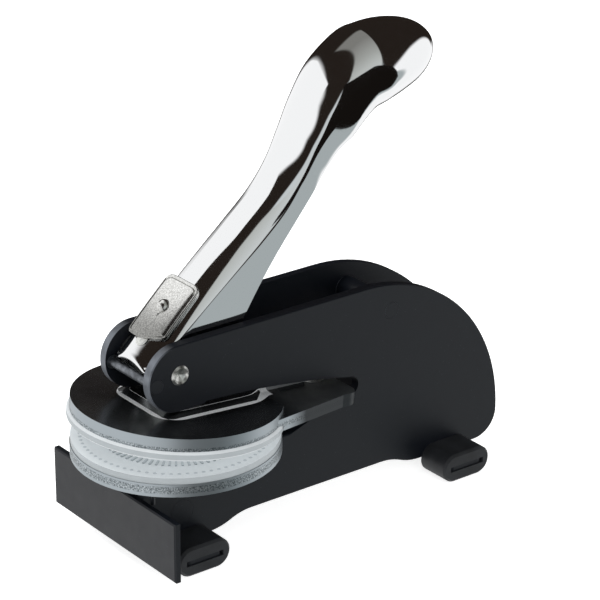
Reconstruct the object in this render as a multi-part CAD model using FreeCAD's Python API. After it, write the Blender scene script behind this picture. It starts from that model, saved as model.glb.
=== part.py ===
"""Hand-held seal embosser: two plate cheeks, a chrome lever with a press cam, and a hinged die clip.

Millimetres. +Z is up, +Y points to the rear and +X to the side on which the pivot rivet is rolled.
Every size is first laid out from the die axis and the table top; the last step moves the pieces
back along Y so that the origin is the middle of the footprint.
"""
import FreeCAD, Part
import os
from math import asin, cos, degrees, radians, sin, sqrt
from FreeCAD import Vector

os.makedirs("parts", exist_ok=True)

# Side cheeks: two plates of C shape, one outline
cheek_thickness = 2.4
cheek_gap = 15.6
front_reach = 16.9
rear_reach = 93.5
arm_top = 55.4
rear_arc_radius = 44.0
nose_radius = 8.4
nose_behind_front = 10.9
leg_bottom = 4.3
sill_height = 6.9
jaw_height = 23.3
jaw_flat_reach = 27.0
throat_reach = 45.0
throat_height = 28.4
throat_width = 5.0
jaw_slope_reach = 42.0
arm_step_reach = 2.2
arm_step = 0.6
arm_bow = 0.5
plate_edge_chamfer = 0.25

# Feet: a flat bar under each pair of legs, in rubber sleeves
front_foot_place = -5.5
rear_foot_place = 76.0
foot_bar_width = 10.5
foot_bar_thickness = 1.3
foot_bar_inset = 0.35
sleeve_width = 15.0
sleeve_height = 7.5
sleeve_length = 9.1
sleeve_edge_chamfer = 0.6
leg_flat = 8.0
leg_swing = 12.5

# Front plate
front_plate_width = 51.0
front_plate_thickness = 1.6
front_plate_bottom = 3.9
front_plate_height = 15.2
front_plate_chamfer = 0.35

# Pins and spacers across the cheeks
assembly_clearance = 0.05
running_clearance = 0.05
pivot_place = -5.6
pivot_height = 47.8
pivot_shaft_radius = 2.0
pivot_ring_radius = 2.45
pivot_ring_rise = 0.45
pivot_dimple_radius = 1.5
pivot_dimple_depth = 0.7
pivot_head_radius = 3.9
pivot_head_rise = 1.1
# The head's dome: rise and radius, each a share of the head's own, from the crown to the rim
pivot_dome_shares = ((1.0, 0), (0.85, 0.5), (0.45, 0.85), (0, 1.0))
washer_radius = 4.5
washer_thickness = 0.6
cross_bar_place = -12.2
cross_bar_height = 46.6
cross_bar_radius = 1.2
cross_bar_end_radius = 1.75
rear_spacer_place = 57.7
rear_spacer_height = 47.8
rear_spacer_radius = 3.2
rear_spacer_end_radius = 2.1
lower_spacer_place = -5.6
lower_spacer_height = 12.3
lower_spacer_radius = 4.4
lower_spacer_end_radius = 3.15

# Die clip, laid out closed
leaf_radius = 25.4
leaf_thickness = 3.2
lower_die_radius = 25.2
lower_die_thickness = 1.6
upper_die_radius = 26.1
upper_die_thickness = 2.2
die_edge_chamfer = 0.5
paper_gap = 0.2
recess_radius = 19.0
recess_depth = 0.5
leaf_offset = 1.4
die_clearance = 0.2
tongue_half_width = 7.4
tongue_reach = 42.0
tail_start = 12.0
tail_start_half_width = 21.3
tail_half_width = 16.0
tail_half_width_reach = 38.0
tail_reach = 43.0
tail_corner_radius = 3.0
ridge_height = 0.85
ridge_front = -8.8
ridge_half_width = 9.4
ridge_jog_start = 14.5
ridge_jog_end = 19.0
ridge_rear_half_width = 6.9
ridge_reach = 33.0
ridge_corner = 2.2
ridge_skirt = 1.8
clip_hinge_reach = 41.5
clip_opening_angle = 4.5
clip_block_half_width = 6.2
clip_block_start = 35.0
clip_block_length = 6.0
clip_block_clearance = 0.1
clip_rivet_radius = 2.0
clip_rivet_head_radius = 3.0
clip_rivet_head_height = 1.0
clip_rivet_spacing = 8.0
clip_rivet_hole_clearance = 0.4
clip_rivet_head_clearance = 0.6
locating_pin_radius = 0.55
locating_pin_length = 4.9
locating_pin_place = -15.5
locating_pin_clearance = 1.75

# Lever, in its own frame: along the lever from the pivot, and square to it towards the front
lever_rest_angle = 42.8
lever_fold_angle = 36.8
stem_length = 61.0
lever_half_width = 7.0
lever_wall = 1.15
front_rise = 7.0
hub_radius = 5.0
mouth_setback = 4.3
mouth_arch_radius = 16.0
mouth_arch_depth = 0.9
head_beyond_stem = 26.6
head_rise = 2.1
head_half_length = 17.7
head_half_height = 9.7
head_half_width = 10.5
head_pitch = 7.0
cross_bar_clearance = 0.45
front_rail_share = 0.75
shoulder_share = 0.93

# Press cam
cam_half_width = 5.2
cam_hub_radius = 3.8
cam_heel_radius = 3.5
cam_toe_radius = 2.0
cam_heel_sweep = 75.0
cam_toe_sweep = 80.0
cam_face_samples = 7
cam_clearance = 0.25
cam_stand_out = 0.6
cam_web_length = 9.5
cam_rivet_radius = 1.2
cam_rivet_along = 5.0
cam_rivet_drop = 4.6
cam_rivet_head_radius = 2.0
cam_rivet_head_height = 0.5

# Latch on the front of the lever
latch_start = 3.0
latch_length = 15.6
latch_half_width = 6.4
latch_crown = 0.65
latch_top = 8.0
latch_wall = 0.4
latch_bevel = 0.9
latch_skirt_bottom = 5.2
latch_corner_radius = 2.6
latch_lift = 0.1
latch_travel = 5.0
thumb_nub_along = 11.0
thumb_nub_radius = 1.7
thumb_nub_rise = 2.0
thumb_ramp_length = 5.0
thumb_ramp_tip_radius = 0.25
latch_stem_radius = 1.0
latch_slot_clearance = 0.12
keeper_start = 0.6
keeper_length = 12.0
keeper_half_width = 2.0
keeper_thickness = 0.5
keeper_rise = 4.7
stop_rivet_along = 1.9
stop_rivet_radius = 1.8
stop_rivet_shank_radius = 0.9
stop_rivet_rise = 0.32
stop_rivet_rim = 0.12

# One overrun for every cut, and how near to one an edge's direction counts as upright
overrun = 2.0
upright_share = 0.9

cheek_inner = cheek_gap / 2
cheek_outer = cheek_inner + cheek_thickness
nose_place = nose_behind_front - front_reach
nose_height = arm_top - nose_radius
sleeve_middle = sleeve_height / 2
foot_bar_half_length = cheek_outer + sleeve_length - foot_bar_inset
lower_leaf_top = jaw_height + leaf_thickness
lower_die_top = lower_leaf_top + lower_die_thickness
upper_die_bottom = lower_die_top + paper_gap
upper_leaf_bottom = upper_die_bottom + upper_die_thickness
upper_leaf_top = upper_leaf_bottom + leaf_thickness
ridge_top = upper_leaf_top + ridge_height
tail_bottom = upper_leaf_bottom - leaf_offset
tail_top = tail_bottom + leaf_thickness
die_axis_place = (upper_die_radius - rear_reach) / 2
head_along = stem_length + head_beyond_stem


def save(shape, node):
    """Move a finished sub-part to the row frame and write it."""
    shape.translate(Vector(0, die_axis_place, 0))
    shape.exportStep("parts/%s.step" % node)


def side_point(y, z, x=0.0):
    """A point of the side view."""
    return Vector(x, y, z)


def line(start, end):
    return Part.LineSegment(start, end).toShape()


def arc(start, middle, end):
    return Part.Arc(start, middle, end).toShape()


def arc_about(centre_y, centre_z, radius, start_angle, end_angle):
    """An arc in the side view about a centre, with angles from +Y towards +Z."""
    points = []
    for share in (0, 0.5, 1):
        turn = radians(start_angle + share * (end_angle - start_angle))
        points.append(side_point(centre_y + radius * cos(turn), centre_z + radius * sin(turn)))
    return arc(*points)


def polyline(points):
    """Straight edges through points, not closed."""
    return [line(a, b) for a, b in zip(points[:-1], points[1:])]


def slab(edges, half_width):
    """A side-view outline given thickness across X, centred on X = 0."""
    face = Part.Face(Part.Wire(Part.__sortEdges__(edges)))
    face.translate(Vector(-half_width, 0, 0))
    return face.extrude(Vector(2 * half_width, 0, 0))


def cross_pin(radius, start_x, end_x, y, z):
    """A cylinder across the cheeks."""
    return Part.makeCylinder(radius, end_x - start_x, side_point(y, z, start_x), Vector(1, 0, 0))


def box_between(low, high):
    size = high - low
    return Part.makeBox(size.x, size.y, size.z, low)


# Cheeks
def swing(start, end):
    """Two tangent arcs, level at both ends, that carry a bottom edge from one height to another."""
    run = end.y - start.y
    rise = end.z - start.z
    radius = (run * run + rise * rise) / (4 * abs(rise))
    lift = radius if rise > 0 else -radius
    half_turn = asin(run / 2 / radius) / 2
    middle = (start + end) / 2
    near = side_point(start.y + radius * sin(half_turn), start.z + lift * (1 - cos(half_turn)))
    far = side_point(end.y - radius * sin(half_turn), end.z - lift * (1 - cos(half_turn)))
    return [arc(start, near, middle), arc(middle, far, end)]


def cheek_outline():
    """The C outline, from the top of the front edge round the feet, the back and the nose."""
    rear_corner = jaw_corner_radius()
    rear_centre = rear_reach - rear_arc_radius
    throat_middle = throat_height + throat_width / 2
    arm_low = arm_top - 2 * nose_radius
    top_of_front = side_point(-front_reach, jaw_height)
    bottom_of_front = side_point(-front_reach, leg_bottom)
    front_leg_end = side_point(front_foot_place + leg_flat, leg_bottom)
    sill_start = side_point(front_leg_end.y + leg_swing, sill_height)
    rear_leg_start = side_point(rear_foot_place - leg_flat, leg_bottom)
    sill_end = side_point(rear_leg_start.y - leg_swing, sill_height)
    rear_leg_end = side_point(rear_reach - rear_corner, leg_bottom)
    edges = [line(top_of_front, bottom_of_front), line(bottom_of_front, front_leg_end)]
    edges += swing(front_leg_end, sill_start)
    edges.append(line(sill_start, sill_end))
    edges += swing(sill_end, rear_leg_start)
    edges.append(line(rear_leg_start, rear_leg_end))
    edges.append(arc_about(rear_leg_end.y, leg_bottom + rear_corner, rear_corner, -90, 0))
    edges.append(arc_about(rear_centre, arm_top - rear_arc_radius, rear_arc_radius, 0, 90))
    edges.append(line(side_point(rear_centre, arm_top), side_point(nose_place, arm_top)))
    edges.append(arc_about(nose_place, nose_height, nose_radius, 90, 270))
    step_start = side_point(arm_step_reach - 2 * arm_step, arm_low)
    step_end = side_point(arm_step_reach, arm_low + arm_step)
    throat_top = side_point(throat_reach, throat_height + throat_width)
    under = (step_end + throat_top) / 2 + Vector(0, 0, 2 * arm_bow)
    edges += polyline([side_point(nose_place, arm_low), step_start, step_end])
    edges.append(arc(step_end, under, throat_top))
    edges.append(arc_about(throat_reach, throat_middle, throat_width / 2, 90, -90))
    edges += polyline([side_point(throat_reach, throat_height),
                       side_point(jaw_slope_reach, throat_height),
                       side_point(jaw_flat_reach, jaw_height), top_of_front])
    return edges


def jaw_corner_radius():
    """The lower rear corner takes up what the big rear arc leaves over the feet."""
    return arm_top - rear_arc_radius - leg_bottom


def in_throat(point):
    """True at the blind end of the C, whose edges stay sharp."""
    in_height = jaw_height + assembly_clearance < point.z < throat_height + 2 * throat_width
    in_length = jaw_flat_reach / 2 < point.y < throat_reach + throat_width
    return in_height and in_length


def cheek(side):
    plate = slab(cheek_outline(), cheek_thickness / 2)
    plate.translate(Vector(side * (cheek_inner + cheek_thickness / 2), 0, 0))
    outer_face = side * cheek_outer
    rim = [edge for edge in plate.Edges
           if all(abs(vertex.X - outer_face) < assembly_clearance for vertex in edge.Vertexes)
           and not in_throat(edge.CenterOfMass)]
    plate = plate.makeChamfer(plate_edge_chamfer, rim)
    holes = ((pivot_shaft_radius, pivot_place, pivot_height),
             (cross_bar_end_radius, cross_bar_place, cross_bar_height),
             (rear_spacer_end_radius, rear_spacer_place, rear_spacer_height),
             (lower_spacer_end_radius, lower_spacer_place, lower_spacer_height))
    reach = cheek_outer + overrun
    for radius, y, z in holes:
        plate = plate.cut(cross_pin(radius + assembly_clearance, -reach, reach, y, z))
    return plate


save(cheek(-1), "left_cheek")
save(cheek(1), "right_cheek")


# Bars and spacers across the cheeks
def shouldered_bar(radius, end_radius, y, z):
    """A bar whose ends fill the holes in both cheeks, ground flush."""
    middle = cross_pin(radius, -cheek_inner, cheek_inner, y, z)
    return middle.fuse(cross_pin(end_radius, -cheek_outer, cheek_outer, y, z).cut(
        cross_pin(end_radius + overrun, -cheek_inner, cheek_inner, y, z))).removeSplitter()


save(shouldered_bar(cross_bar_radius, cross_bar_end_radius, cross_bar_place, cross_bar_height),
     "front_cross_bar")
save(shouldered_bar(rear_spacer_radius, rear_spacer_end_radius, rear_spacer_place,
                    rear_spacer_height), "rear_spacer")
save(shouldered_bar(lower_spacer_radius, lower_spacer_end_radius, lower_spacer_place,
                    lower_spacer_height), "lower_spacer")


def pivot_rivet():
    """Semi-tubular rivet: a domed head on one side, a rolled ring with a dimple on the other."""
    ring_top = cheek_outer + pivot_ring_rise
    ring_crest = (pivot_ring_radius + pivot_dimple_radius) / 2
    profile_points = [(-cheek_outer - rise * pivot_head_rise, radius * pivot_head_radius)
                      for rise, radius in pivot_dome_shares]
    profile_points += [(-cheek_outer, pivot_shaft_radius), (cheek_outer, pivot_shaft_radius),
                       (cheek_outer, pivot_ring_radius), (ring_top, ring_crest),
                       (cheek_outer, pivot_dimple_radius), (cheek_outer - pivot_dimple_depth, 0)]
    loop = [Vector(x, radius, 0) for x, radius in profile_points]
    profile = Part.Face(Part.makePolygon(loop + [loop[0]]))
    rivet = profile.revolve(Vector(0, 0, 0), Vector(1, 0, 0), 360)
    rivet.translate(side_point(pivot_place, pivot_height))
    return rivet


def pivot_washers():
    """A thin washer each side of the lever keeps it off the cheeks."""
    rings = []
    for side in (-1, 1):
        near = side * (cheek_inner - washer_thickness)
        far = side * cheek_inner
        ends = sorted((near, far))
        disc = cross_pin(washer_radius, ends[0], ends[1], pivot_place, pivot_height)
        rings.append(disc.cut(cross_pin(pivot_shaft_radius + running_clearance, -cheek_outer,
                                        cheek_outer, pivot_place, pivot_height)))
    return Part.makeCompound(rings)


save(pivot_rivet(), "pivot_rivet")
save(pivot_washers(), "pivot_washers")


# Front plate
def front_plate():
    low = Vector(-front_plate_width / 2, -front_reach - front_plate_thickness, front_plate_bottom)
    plate = Part.makeBox(front_plate_width, front_plate_thickness, front_plate_height, low)
    front = low.y
    rim = [edge for edge in plate.Edges
           if all(abs(vertex.Y - front) < assembly_clearance for vertex in edge.Vertexes)]
    return plate.makeChamfer(front_plate_chamfer, rim)


save(front_plate(), "front_plate")


# Feet
def foot_bar(place):
    low = Vector(-foot_bar_half_length, place - foot_bar_width / 2, leg_bottom - foot_bar_thickness)
    bar = Part.makeBox(2 * foot_bar_half_length, foot_bar_width, foot_bar_thickness, low)
    corners = [edge for edge in bar.Edges if abs(edge.tangentAt(edge.FirstParameter).z) > upright_share]
    return bar.makeFillet(foot_bar_thickness, corners)


def rubber_foot(side, place):
    """Moulded sleeve of oval section with a slot for the bar, pushed on against the cheek."""
    half_flat = (sleeve_width - sleeve_height) / 2
    edges = [line(side_point(place - half_flat, 0), side_point(place + half_flat, 0)),
             arc_about(place + half_flat, sleeve_middle, sleeve_middle, -90, 90),
             line(side_point(place + half_flat, sleeve_height),
                  side_point(place - half_flat, sleeve_height)),
             arc_about(place - half_flat, sleeve_middle, sleeve_middle, 90, 270)]
    sleeve = slab(edges, sleeve_length / 2)
    sleeve.translate(Vector(side * (cheek_outer + sleeve_length / 2), 0, 0))
    end_face = side * (cheek_outer + sleeve_length)
    rim = [edge for edge in sleeve.Edges
           if all(abs(vertex.X - end_face) < assembly_clearance for vertex in edge.Vertexes)]
    sleeve = sleeve.makeChamfer(sleeve_edge_chamfer, rim)
    slot_half = foot_bar_width / 2 + assembly_clearance
    reach = cheek_outer + sleeve_length + overrun
    slot = box_between(
        Vector(-reach, place - slot_half, leg_bottom - foot_bar_thickness - assembly_clearance),
        Vector(reach, place + slot_half, leg_bottom + assembly_clearance))
    return sleeve.cut(slot)


for name, place in (("front", front_foot_place), ("rear", rear_foot_place)):
    save(foot_bar(place), name + "_foot_bar")
    for side, side_name in ((-1, "left"), (1, "right")):
        save(rubber_foot(side, place), "%s_%s_foot" % (name, side_name))


# Die clip
def disc(radius, bottom, thickness):
    return Part.makeCylinder(radius, thickness, Vector(0, 0, bottom))


def plan_plate(points, bottom, thickness):
    """A flat plate from a plan outline given for the +X side and mirrored."""
    right = [Vector(x, y, bottom) for x, y in points]
    left = [Vector(-x, y, bottom) for x, y in reversed(points)]
    loop = right + left
    return Part.Face(Part.makePolygon(loop + [loop[0]])).extrude(Vector(0, 0, thickness))


def upright_edges(shape, low_y):
    return [edge for edge in shape.Edges
            if abs(edge.tangentAt(edge.FirstParameter).z) > upright_share and edge.CenterOfMass.y > low_y]


def ridge_points(widen):
    """Plan outline of the raised ridge on the +X side, widened all round for its foot."""
    corner = ridge_corner
    front = ridge_front - widen
    wide = ridge_half_width + widen
    narrow = ridge_rear_half_width + min(widen, cheek_inner - ridge_rear_half_width) / 2
    return ((wide - corner, front), (wide - corner * (1 - sqrt(0.5)), front + corner * (1 - sqrt(0.5))),
            (wide, front + corner), (wide, ridge_jog_start + widen / 2),
            (narrow, ridge_jog_end + widen / 2), (narrow, ridge_reach))


def ridge():
    """The pressed ridge that the cam bears on, with a sloping foot."""
    wires = []
    for widen, height in ((ridge_skirt, upper_leaf_top), (0.0, ridge_top)):
        points = ridge_points(widen)
        loop = [Vector(x, y, height) for x, y in points]
        loop += [Vector(-x, y, height) for x, y in reversed(points)]
        wires.append(Part.makePolygon(loop + [loop[0]]))
    crown = Part.makeLoft(wires, True, True)
    base = plan_plate(ridge_points(0.0), tail_top - leaf_offset, upper_leaf_top - tail_top + leaf_offset)
    return crown.fuse(base)


def clip_rivet_centres():
    place = clip_block_start + clip_block_length / 2
    return [(side * clip_rivet_spacing / 2, place) for side in (-1, 1)]


def upper_leaf():
    """Disc half-sheared up from a wide tail, with the ridge pressed along the middle."""
    outline = ((tail_start_half_width, tail_start), (tail_half_width, tail_half_width_reach),
               (tail_half_width, tail_reach))
    tail = plan_plate(outline, tail_bottom, leaf_thickness)
    tail = tail.makeFillet(tail_corner_radius, upright_edges(tail, tail_reach - tail_corner_radius))
    room = disc(upper_die_radius + die_clearance, tail_bottom - overrun, leaf_offset + overrun)
    tail = tail.cut(room)
    leaf = disc(leaf_radius, upper_leaf_bottom, leaf_thickness).fuse([tail, ridge()])
    for x, y in clip_rivet_centres():
        hole = clip_rivet_radius + clip_rivet_hole_clearance
        leaf = leaf.cut(Part.makeCylinder(hole, leaf_thickness + 2 * overrun,
                                          Vector(x, y, tail_bottom - overrun)))
    return leaf.removeSplitter()


def upper_die():
    die = disc(upper_die_radius, upper_die_bottom, upper_die_thickness)
    rims = [edge for edge in die.Edges if edge.Closed]
    return die.makeChamfer(die_edge_chamfer, rims)


def lower_leaf():
    """Disc with a tongue that runs back between the cheeks to the clip block."""
    tongue = box_between(Vector(-tongue_half_width, 0, jaw_height),
                         Vector(tongue_half_width, tongue_reach, lower_leaf_top))
    leaf = disc(leaf_radius, jaw_height, leaf_thickness).fuse(tongue)
    for x, y in clip_rivet_centres():
        leaf = leaf.cut(Part.makeCylinder(clip_rivet_radius + assembly_clearance,
                                          leaf_thickness + 2 * overrun,
                                          Vector(x, y, jaw_height - overrun)))
    return leaf.removeSplitter()


def lower_die():
    die = disc(lower_die_radius, lower_leaf_top, lower_die_thickness)
    return die.cut(disc(recess_radius, lower_die_top - recess_depth, overrun))


def clip_block():
    low = Vector(-clip_block_half_width, clip_block_start, lower_leaf_top)
    height = tail_bottom - lower_leaf_top - clip_block_clearance
    block = Part.makeBox(2 * clip_block_half_width, clip_block_length, height, low)
    for x, y in clip_rivet_centres():
        block = block.cut(Part.makeCylinder(clip_rivet_radius + assembly_clearance,
                                            height + 2 * overrun,
                                            Vector(x, y, lower_leaf_top - overrun)))
    return block


def clip_rivets():
    """Two rivets tie the leaves at the tail; their heads leave the upper leaf room to rock."""
    rivets = []
    head_bottom = tail_top + clip_rivet_head_clearance
    for x, y in clip_rivet_centres():
        shank = Part.makeCylinder(clip_rivet_radius, head_bottom - jaw_height,
                                  Vector(x, y, jaw_height))
        head = Part.makeCone(clip_rivet_head_radius, clip_rivet_radius, clip_rivet_head_height,
                             Vector(x, y, head_bottom))
        rivets.append(shank.fuse(head))
    return Part.makeCompound(rivets)


def locating_pins():
    """Short pins under the lower leaf that keep the clip square between the cheeks."""
    place = cheek_outer + locating_pin_clearance + locating_pin_radius
    return Part.makeCompound([
        Part.makeCylinder(locating_pin_radius, locating_pin_length,
                          Vector(side * place, locating_pin_place, jaw_height - locating_pin_length))
        for side in (-1, 1)])


def opened(shape):
    """Swing a piece of the upper half of the clip from closed to rest."""
    shape.rotate(side_point(clip_hinge_reach, tail_bottom), Vector(1, 0, 0), -clip_opening_angle)
    return shape


save(opened(upper_leaf()), "upper_leaf")
save(opened(upper_die()), "upper_die")
save(lower_leaf(), "lower_leaf")
save(lower_die(), "lower_die")
save(clip_block(), "clip_block")
save(clip_rivets(), "clip_rivets")
save(locating_pins(), "locating_pins")


# Lever
# One row per station: place along, centre height, tilt in degrees, height of the front above the
# centre, shoulder drop, roundness of the front, half width, half width at the back, and depth
# at the back edges and in the middle. Places are shares of the stem, and past it shares of the
# stretch to the head's middle. Half widths are shares of the lever's, heights of the front rise.
stem_station_shares = (
    (-0.13, 0, 0, 1.035, 0.39, 1.2, 1.0, 1.0, 2.3, 2.3),
    (0, 0, 0, 1.025, 0.395, 1.2, 1.0, 1.0, 2.3, 2.3),
    (0.13, 0, 0, 1.008, 0.42, 1.2, 1.0, 1.0, 2.3, 2.3),
    (0.28, 0, 0, 0.965, 0.5, 1.2, 1.0, 1.0, 2.3, 2.3),
    (0.46, 0, 0, 0.893, 0.6, 1.25, 1.0, 1.0, 2.0, 2.0),
    (0.607, 0, 0, 0.815, 0.67, 1.3, 1.0, 1.0, 1.6, 1.6),
    (0.754, 0, -2, 0.771, 0.657, 1.4, 1.007, 1.007, 1.2, 1.2),
    (0.885, 0.143, -5, 0.814, 0.63, 1.5, 1.043, 1.043, 1.0, 1.0),
)
neck_station_shares = (
    (0, 0.4, -10, 0.943, 0.743, 1.7, 1.12, 1.0, 0.75, 0.75),
    (0.263, 0.686, -16, 1.114, 0.97, 1.9, 1.243, 1.03, 1.0, 1.04),
    (0.545, 0.857, -25, 1.271, 1.2, 2.0, 1.371, 1.15, 0.95, 1.286),
)
# Slices of the head, as shares of its half length, and where a slice is widest at the back
head_slice_shares = (-0.28, 0, 0.28, 0.56, 0.78, 0.92, 0.99)
head_back_half_share = 0.85
head_back_depth_share = sqrt(1 - head_back_half_share ** 2)
# Rear edges of the side walls: share of the stem, and height as a share of the front rise
rear_edge_shares = ((0.995, -0.236), (0.943, -0.33), (0.779, -0.443), (0.595, -0.557),
                    (0.497, -0.729), (0.361, -0.971), (0.307, -1.15))


def lever_frame(shape):
    """Carry a shape from the lever's own frame to its place at rest."""
    shape.rotate(Vector(0, 0, 0), Vector(1, 0, 0), lever_rest_angle)
    shape.translate(side_point(pivot_place, pivot_height))
    return shape


def stations():
    """Every section of the lever in millimetres, from the mouth to the tip of the head."""
    rows = []
    for table, start, length in ((stem_station_shares, 0, stem_length),
                                 (neck_station_shares, stem_length, head_beyond_stem)):
        for along, centre, tilt, top, drop, roundness, half, back_half, edge, middle in table:
            rows.append((start + along * length, centre * front_rise, tilt, top * front_rise,
                         drop * front_rise, roundness, half * lever_half_width,
                         back_half * lever_half_width, edge * front_rise, middle * front_rise))
    tilt = head_pitch - lever_rest_angle
    for slice_share in head_slice_shares:
        swell = sqrt(1 - slice_share ** 2)
        offset = slice_share * head_half_length
        height = swell * head_half_height
        half = swell * head_half_width
        rows.append((head_along + offset * cos(radians(tilt)), head_rise + offset * sin(radians(tilt)),
                     tilt, height, height, 2, half, head_back_half_share * half,
                     head_back_depth_share * height, height))
    return rows


def station_wire(row, wall, deepen):
    """One cross-section of the lever: crowned front, two shoulders, two sides and the back."""
    along, centre, tilt, top, drop, roundness, half, back_half, edge, middle = row
    turn = radians(tilt)
    wide = half - wall
    back = back_half - wall
    rear = edge + deepen
    bottom = middle + deepen

    def at(x, height):
        return Vector(x, along - height * sin(turn), centre + height * cos(turn))

    def front(share):
        fullness = (1 - share * share) ** (1 / roundness)
        return at(share * wide, top - wall - drop + drop * fullness)

    def mirrored(point):
        return Vector(-point.x, point.y, point.z)

    rail = front(front_rail_share)
    low = at(back, -rear)
    side = [rail, front(shoulder_share), front(1), low]
    far_side = [mirrored(point) for point in reversed(side)]
    rear_edge = arc(low, at(0, -bottom), far_side[0]) if bottom > rear else line(low, far_side[0])
    return Part.Wire([arc(far_side[-1], front(0), rail)] + polyline(side) + [rear_edge]
                     + polyline(far_side))


def clip_plane_distance(opening):
    """Distance from the pivot down to the ridge's top, with the clip open by an angle."""
    drop = pivot_height - tail_bottom
    reach = clip_hinge_reach - pivot_place
    height = ridge_top - tail_bottom
    turn = radians(opening)
    return drop * cos(turn) - reach * sin(turn) - height


def cam_point(share, inset):
    """A point of the cam's working face, at a share of the fold from rest to folded.

    The ridge is a flat follower, so the face is the envelope of its plane as both turn."""
    opening = clip_opening_angle * (1 - share)
    sweep = radians(lever_fold_angle + clip_opening_angle)
    facing = radians(-90 - opening + share * lever_fold_angle - lever_rest_angle)
    step = 1e-4
    before = clip_plane_distance(clip_opening_angle * (1 - share + step))
    after = clip_plane_distance(clip_opening_angle * (1 - share - step))
    rate = (after - before) / (2 * step * sweep)
    reach = clip_plane_distance(opening) - cam_clearance - inset
    point = side_point(reach * cos(facing) - rate * sin(facing),
                       reach * sin(facing) + rate * cos(facing))
    return point, facing


def cam_edges(inset, web_top, web_back):
    """Outline of the cam: heel, working face, toe, and the web into the lever."""
    working = [cam_point(index / (cam_face_samples - 1), inset)[0] for index in range(cam_face_samples)]
    first, first_facing = cam_point(0, inset)
    last, last_facing = cam_point(1, inset)
    face = Part.BSplineCurve()
    face.interpolate(working)
    heel_facing = degrees(first_facing)
    heel_centre = first - cam_heel_radius * side_point(cos(first_facing), sin(first_facing))
    heel = arc_about(heel_centre.y, heel_centre.z, cam_heel_radius, heel_facing - cam_heel_sweep,
                     heel_facing)
    toe_facing = degrees(last_facing)
    toe_centre = last - cam_toe_radius * side_point(cos(last_facing), sin(last_facing))
    toe = arc_about(toe_centre.y, toe_centre.z, cam_toe_radius, toe_facing, toe_facing + cam_toe_sweep)
    toe_end = toe.Vertexes[-1].Point
    heel_start = heel.Vertexes[0].Point
    rest = polyline([toe_end, side_point(cam_web_length, web_back), side_point(cam_web_length, web_top),
                     side_point(0, web_top), heel_start])
    return [heel, face.toShape(), toe] + rest


def press_cam():
    cam = slab(cam_edges(0, cam_hub_radius / 2, -cam_hub_radius), cam_half_width)
    cam = cam.fuse(cross_pin(cam_hub_radius, -cam_half_width, cam_half_width, 0, 0)).removeSplitter()
    reach = cam_half_width + overrun
    cam = cam.cut(cross_pin(pivot_shaft_radius + running_clearance, -reach, reach, 0, 0))
    return cam.cut(cross_pin(cam_rivet_radius + assembly_clearance, -reach, reach,
                             cam_rivet_along, -cam_rivet_drop))


def cam_rivet():
    """Rivet that holds the cam in the lever, with a low head outside each wall."""
    seat = lever_half_width + assembly_clearance
    reach = seat + cam_rivet_head_height
    place = (cam_rivet_along, -cam_rivet_drop)
    heads = cross_pin(cam_rivet_head_radius, -reach, reach, *place).cut(
        cross_pin(cam_rivet_head_radius + overrun, -seat, seat, *place))
    return cross_pin(cam_rivet_radius, -reach, reach, *place).fuse(heads).removeSplitter()


def side_silhouette():
    """What is kept of the stem, seen from the side: walls, hub and the lobes that cover the cam."""
    far = head_along + 2 * head_half_length
    high = 2 * (head_rise + head_half_length)
    points = [side_point(-mouth_setback, hub_radius / 2), side_point(-mouth_setback, high),
              side_point(far, high), side_point(far, -high), side_point(stem_length, -high)]
    points += [side_point(along * stem_length, rise * front_rise) for along, rise in rear_edge_shares]
    toe = cam_point(1, cam_stand_out)[0]
    points += [toe + Vector(0, cam_toe_radius, 0), side_point(0, 0), points[0]]
    outline = slab(polyline(points), 2 * head_half_width)
    lobe = slab(cam_edges(cam_stand_out, 0, -hub_radius), 2 * head_half_width)
    hub = cross_pin(hub_radius, -2 * head_half_width, 2 * head_half_width, 0, 0)
    return outline.fuse([lobe, hub])


def lever():
    """Stamped channel, open at the back, drawn into a closed bulb at the end."""
    rows = stations()
    outer = Part.makeLoft([station_wire(row, 0, 0) for row in rows], True, True)
    open_rows = rows[:len(stem_station_shares) + 2]
    inner = Part.makeLoft([station_wire(row, lever_wall, overrun + front_rise) for row in open_rows],
                          True, True)
    body = outer.cut(inner).common(side_silhouette())
    reach = lever_half_width + overrun
    body = body.cut(cross_pin(pivot_shaft_radius + running_clearance, -reach, reach, 0, 0))
    body = body.cut(cross_pin(cam_rivet_radius + assembly_clearance, -reach, reach,
                              cam_rivet_along, -cam_rivet_drop))
    bar_y = cross_bar_place - pivot_place
    bar_z = cross_bar_height - pivot_height
    turn = radians(lever_rest_angle)
    body = body.cut(cross_pin(cross_bar_radius + cross_bar_clearance, -reach, reach,
                              bar_y * cos(turn) + bar_z * sin(turn),
                              bar_z * cos(turn) - bar_y * sin(turn)))
    arch = Part.makeCylinder(mouth_arch_radius, 2 * front_rise,
                             Vector(0, -mouth_setback - mouth_arch_radius + mouth_arch_depth, 0))
    body = body.cut(arch)
    slot_half = latch_stem_radius + latch_slot_clearance
    slot = box_between(
        Vector(-slot_half, thumb_nub_along - latch_travel - slot_half, keeper_rise),
        Vector(slot_half, thumb_nub_along + slot_half, front_rise + overrun))
    body = body.cut(slot)
    return body.cut(Part.makeCylinder(stop_rivet_shank_radius + assembly_clearance, front_rise,
                                      side_point(stop_rivet_along, keeper_rise)))


save(lever_frame(lever()), "handle")
save(lever_frame(press_cam()), "press_cam")
save(lever_frame(cam_rivet()), "cam_rivet")


# Latch
def latch_section(inset):
    """Cross-section of the latch cover as points: skirt, bevel and crowned top."""
    side = latch_half_width - inset
    flat = side - latch_bevel
    return side, flat, latch_top - latch_crown - inset, latch_top - inset


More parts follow.
